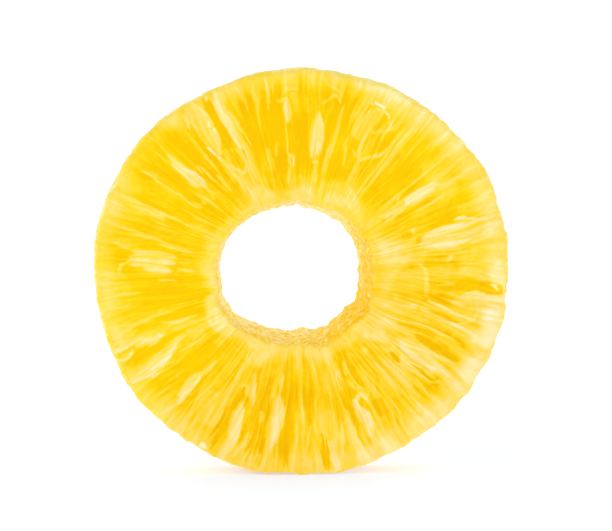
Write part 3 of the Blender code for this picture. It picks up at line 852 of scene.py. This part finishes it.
def linear(colour):
    # An sRGB colour of 0 to 255 as Blender's linear one
    c = np.array(colour) / 255.0
    c = np.where(c <= 0.04045, c / 12.92, ((c + 0.055) / 1.055) ** 2.4)
    return (*c, 1.0)


def addNode(tree, kind, inputs, **settings):
    # A node with its settings made first, then each input linked or given its value
    node = tree.nodes.new(kind)
    for key, value in settings.items():
        setattr(node, key, value)
    for key, value in inputs.items():
        if isinstance(value, bpy.types.NodeSocket):
            tree.links.new(value, node.inputs[key])
        else:
            node.inputs[key].default_value = value
    return node


def fieldOf(tree, name, output="Fac"):
    return addNode(tree, "ShaderNodeAttribute", {}, attribute_name=name).outputs[output]


def noiseOn(tree, vector, noise):
    scale, detail, roughness = noise
    inputs = {"Vector": vector, "Scale": scale, "Detail": detail, "Roughness": roughness}
    return addNode(tree, "ShaderNodeTexNoise", inputs).outputs["Fac"]


def multiplyAdd(tree, value, factor, added, clamped=False):
    inputs = {0: value, 1: factor, 2: added}
    node = addNode(tree, "ShaderNodeMath", inputs, operation="MULTIPLY_ADD", use_clamp=clamped)
    return node.outputs[0]


def mixed(tree, kind, share, low, high):
    # low where share is 0 and high where it is 1: colours or plain numbers
    first = {"RGBA": 6, "FLOAT": 2}[kind]
    node = addNode(tree, "ShaderNodeMix", {0: share, first: low, first + 1: high}, data_type=kind)
    return node.outputs[{"RGBA": 2, "FLOAT": 0}[kind]]


def tinted(tree, share, colour, tint):
    # The colour times the tint, as far as share says
    inputs = {0: share, 6: colour, 7: tint}
    return addNode(tree, "ShaderNodeMix", inputs, data_type="RGBA", blend_type="MULTIPLY").outputs[2]


def toneRamp(tree, value, stops):
    ramp = addNode(tree, "ShaderNodeValToRGB", {0: value})
    while len(ramp.color_ramp.elements) < len(stops):
        ramp.color_ramp.elements.new(0.5)
    for element, (place, colour) in zip(ramp.color_ramp.elements, stops, strict=True):
        element.position = place
        element.color = linear(colour)
    return ramp.outputs["Color"]


def fleshMaterial(look):
    # Paleness and fine noise run through the tones, then the warm places with their painted shade, the
    # deep and browned streaks, and the painted highlights of the torn places are tinted over them
    material = bpy.data.materials.new("ripeFlesh")
    material.use_nodes = True
    tree = material.node_tree
    pale, wall, warmShade = (fieldOf(tree, name) for name in ("paleness", "coredWall", "warmthAndShade"))
    place = addNode(tree, "ShaderNodeTexCoord", {}).outputs["Object"]
    fibre = noiseOn(tree, fieldOf(tree, "fibreWay", "Vector"), look["fibre"])
    cells = noiseOn(tree, place, look["juiceCells"])
    onFace = multiplyAdd(tree, fibre, look["fibreTone"], look["toneShift"])
    onFace = multiplyAdd(tree, cells, look["cellTone"], onFace)
    onFace = multiplyAdd(tree, noiseOn(tree, place, look["softClouds"]), look["cloudTone"], onFace)
    onFace = multiplyAdd(tree, pale, 1.0, onFace)
    onWall = multiplyAdd(tree, fibre, look["wallFibreTone"], -look["wallFibreTone"] / 2)
    onWall = multiplyAdd(tree, pale, 1.0, onWall)
    wallColour = toneRamp(tree, onWall, look["wallTones"])
    colour = mixed(tree, "RGBA", wall, toneRamp(tree, onFace, look["tones"]), wallColour)
    colour = tinted(tree, warmShade, colour, look["warmAndShadeTint"])
    deep = multiplyAdd(tree, onFace, *look["deepShare"], clamped=True)
    deep = mixed(tree, "FLOAT", wall, multiplyAdd(tree, deep, warmShade, 0.0), 0.0)
    colour = tinted(tree, deep, colour, look["deepStreakShadeTint"])
    brown = multiplyAdd(tree, pale, *look["brownShare"], clamped=True)
    colour = tinted(tree, brown, colour, look["brownTint"])
    # painted highlights of the torn, wet bits, past paleness 1
    white = multiplyAdd(tree, pale, *look["paintedGlintShare"], clamped=True)
    colour = mixed(tree, "RGBA", white, colour, linear(look["paintedGlintWhite"]))
    height = multiplyAdd(tree, cells, 0.5, fibre)
    bumpInputs = {"Height": height, "Distance": look["bumpHeight"], "Strength": look["bumpStrength"]}
    bump = addNode(tree, "ShaderNodeBump", bumpInputs)
    s = tree.nodes["Principled BSDF"].inputs
    tree.links.new(colour, s["Base Color"])
    tree.links.new(bump.outputs["Normal"], s["Normal"])
    s["Roughness"].default_value = look["roughness"]
    s["Specular IOR Level"].default_value = look["specular"]
    wet = multiplyAdd(tree, fieldOf(tree, "wetness"), look["specular"], 0.0)
    tree.links.new(wet, s["Specular IOR Level"])
    s["Subsurface Weight"].default_value = look["subsurface"]
    s["Subsurface Radius"].default_value = look["subsurfaceRadius"]
    s["Subsurface Scale"].default_value = mm
    s["IOR"].default_value = look["ior"]
    return material


ringSize = measureRing(ringBody)
flesh = makeRing(ringBody, ringSize)
flesh.data.materials.append(fleshMaterial(fleshLook))
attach(flesh, "root")
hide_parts("pineapple_ring")
print("flesh made:", len(flesh.data.polygons), "faces")


studio = {
    "azimuth": -3.5,
    "elevation": 5.0,
    "distance": 650.0,  # mm from the ring's middle
    "focal": 174.4,
    "aim": (1.36, 1.0),  # mm that the view is aimed right of and above the ring's middle
    "surround": 0.835,  # strength as light
    "surroundSeen": 1.1,  # and as it is seen
    "floorSide": 40.0,  # m
    "floorLight": (0.80, 0.80, 0.80, 1.0),  # as it lights the ring
    "floorLamp": (0.42, 0.42, 0.42, 1.0),  # light of its own that it gives the ring from below
    # as it is seen, and its glow to the eye in and beyond the lamps' pool of light: together white,
    # and a nearly neutral grey in the shadow, where the ring's own yellow falls
    "floorSeen": (0.92, 0.83, 0.60, 1.0),
    "glowNear": (0.06, 0.235, 0.545, 1.0),
    "glowFar": (0.27, 0.34, 0.54, 1.0),
    "glowTurns": (0.05, 0.16),  # m from the foot where the one begins to give way and is gone
    # place and side in m, and power in W
    "softboxes": {
        "keySoftbox": ((-0.5, -0.7, 0.8), 0.6, 1.6),
        "backLeftSoftbox": ((-0.6, 0.7, 0.7), 0.7, 1.1),
        "backRightSoftbox": ((0.7, 0.6, 0.5), 0.7, 1.4),
        "leftPanel": ((-1.0, 0.1, 0.2), 0.6, 1.0),
        "rightPanel": ((1.0, 0.1, 0.2), 0.6, 1.0),
    },
}


def makeCamera(look, middle):
    a, e = math.radians(look["azimuth"]), math.radians(look["elevation"])
    back = np.array([math.sin(a) * math.cos(e), -math.cos(a) * math.cos(e), math.sin(e)])
    right = np.array([math.cos(a), math.sin(a), 0.0])
    up = np.cross(back, right)
    eye = middle + back * look["distance"] + right * look["aim"][0] + up * look["aim"][1]
    data = bpy.data.cameras.new("camera")
    data.lens = look["focal"]
    data.sensor_width = 36.0
    data.clip_start, data.clip_end = 0.01, 20.0
    camera = bpy.data.objects.new("camera", data)
    bpy.context.scene.collection.objects.link(camera)
    camera.location = eye * mm
    camera.rotation_euler = (math.radians(90) - e, 0.0, a)
    bpy.context.scene.camera = camera


def makeSurround(look):
    # White to the eye and a little dimmer as light; the ring doesn't mirror it
    world = bpy.data.worlds.new("surround")
    bpy.context.scene.world = world
    world.use_nodes = True
    tree = world.node_tree
    path = tree.nodes.new("ShaderNodeLightPath").outputs
    strength = mixed(tree, "FLOAT", path["Is Camera Ray"], look["surround"], look["surroundSeen"])
    background = tree.nodes["Background"]
    background.inputs["Color"].default_value = (1, 1, 1, 1)
    tree.links.new(strength, background.inputs["Strength"])
    world.cycles_visibility.glossy = False


def makeFloor(look):
    # A white table top, which glows to the eye so that only a faint shadow is left on it
    side = look["floorSide"] / 2
    corners = [(-side, -side, 0), (side, -side, 0), (side, side, 0), (-side, side, 0)]
    mesh = bpy.data.meshes.new("floor")
    mesh.from_pydata(corners, [], [(0, 1, 2, 3)])
    floor = bpy.data.objects.new("floor", mesh)
    bpy.context.scene.collection.objects.link(floor)
    material = bpy.data.materials.new("whiteTable")
    material.use_nodes = True
    tree = material.node_tree
    shader = tree.nodes["Principled BSDF"]
    path = tree.nodes.new("ShaderNodeLightPath").outputs
    white = mixed(tree, "RGBA", path["Is Camera Ray"], look["floorLight"], look["floorSeen"])
    place = addNode(tree, "ShaderNodeTexCoord", {}).outputs["Object"]
    away = addNode(tree, "ShaderNodeVectorMath", {0: place}, operation="LENGTH").outputs["Value"]
    near, far = look["glowTurns"]
    away = addNode(tree, "ShaderNodeMapRange", {0: away, 1: near, 2: far}).outputs[0]
    seen = mixed(tree, "RGBA", away, look["glowNear"], look["glowFar"])
    glow = mixed(tree, "RGBA", path["Is Camera Ray"], look["floorLamp"], seen)
    tree.links.new(white, shader.inputs["Base Color"])
    tree.links.new(glow, shader.inputs["Emission Color"])
    shader.inputs["Emission Strength"].default_value = 1.0
    shader.inputs["Roughness"].default_value = 0.9
    shader.inputs["Specular IOR Level"].default_value = 0.0
    mesh.materials.append(material)
    floor.visible_glossy = False


def softbox(name, place, side, power, aim):
    # A square lamp of that side (m) at that place, facing aim
    data = bpy.data.lights.new(name, "AREA")
    data.shape = "SQUARE"
    data.size = side
    data.energy = power
    lamp = bpy.data.objects.new(name, data)
    bpy.context.scene.collection.objects.link(lamp)
    lamp.location = place
    way = np.array(aim) - np.array(place)
    yaw = math.atan2(way[0], -way[1])
    pitch = math.atan2(math.hypot(way[0], way[1]), -way[2])
    lamp.rotation_euler = (pitch, 0.0, yaw + math.pi)


makeCamera(studio, ringSize["middle"])
makeSurround(studio)
makeFloor(studio)
for name, settings in studio["softboxes"].items():
    softbox(name, *settings, ringSize["middle"] * mm)
bpy.context.scene.view_settings.view_transform = "Standard"
print("studio set")
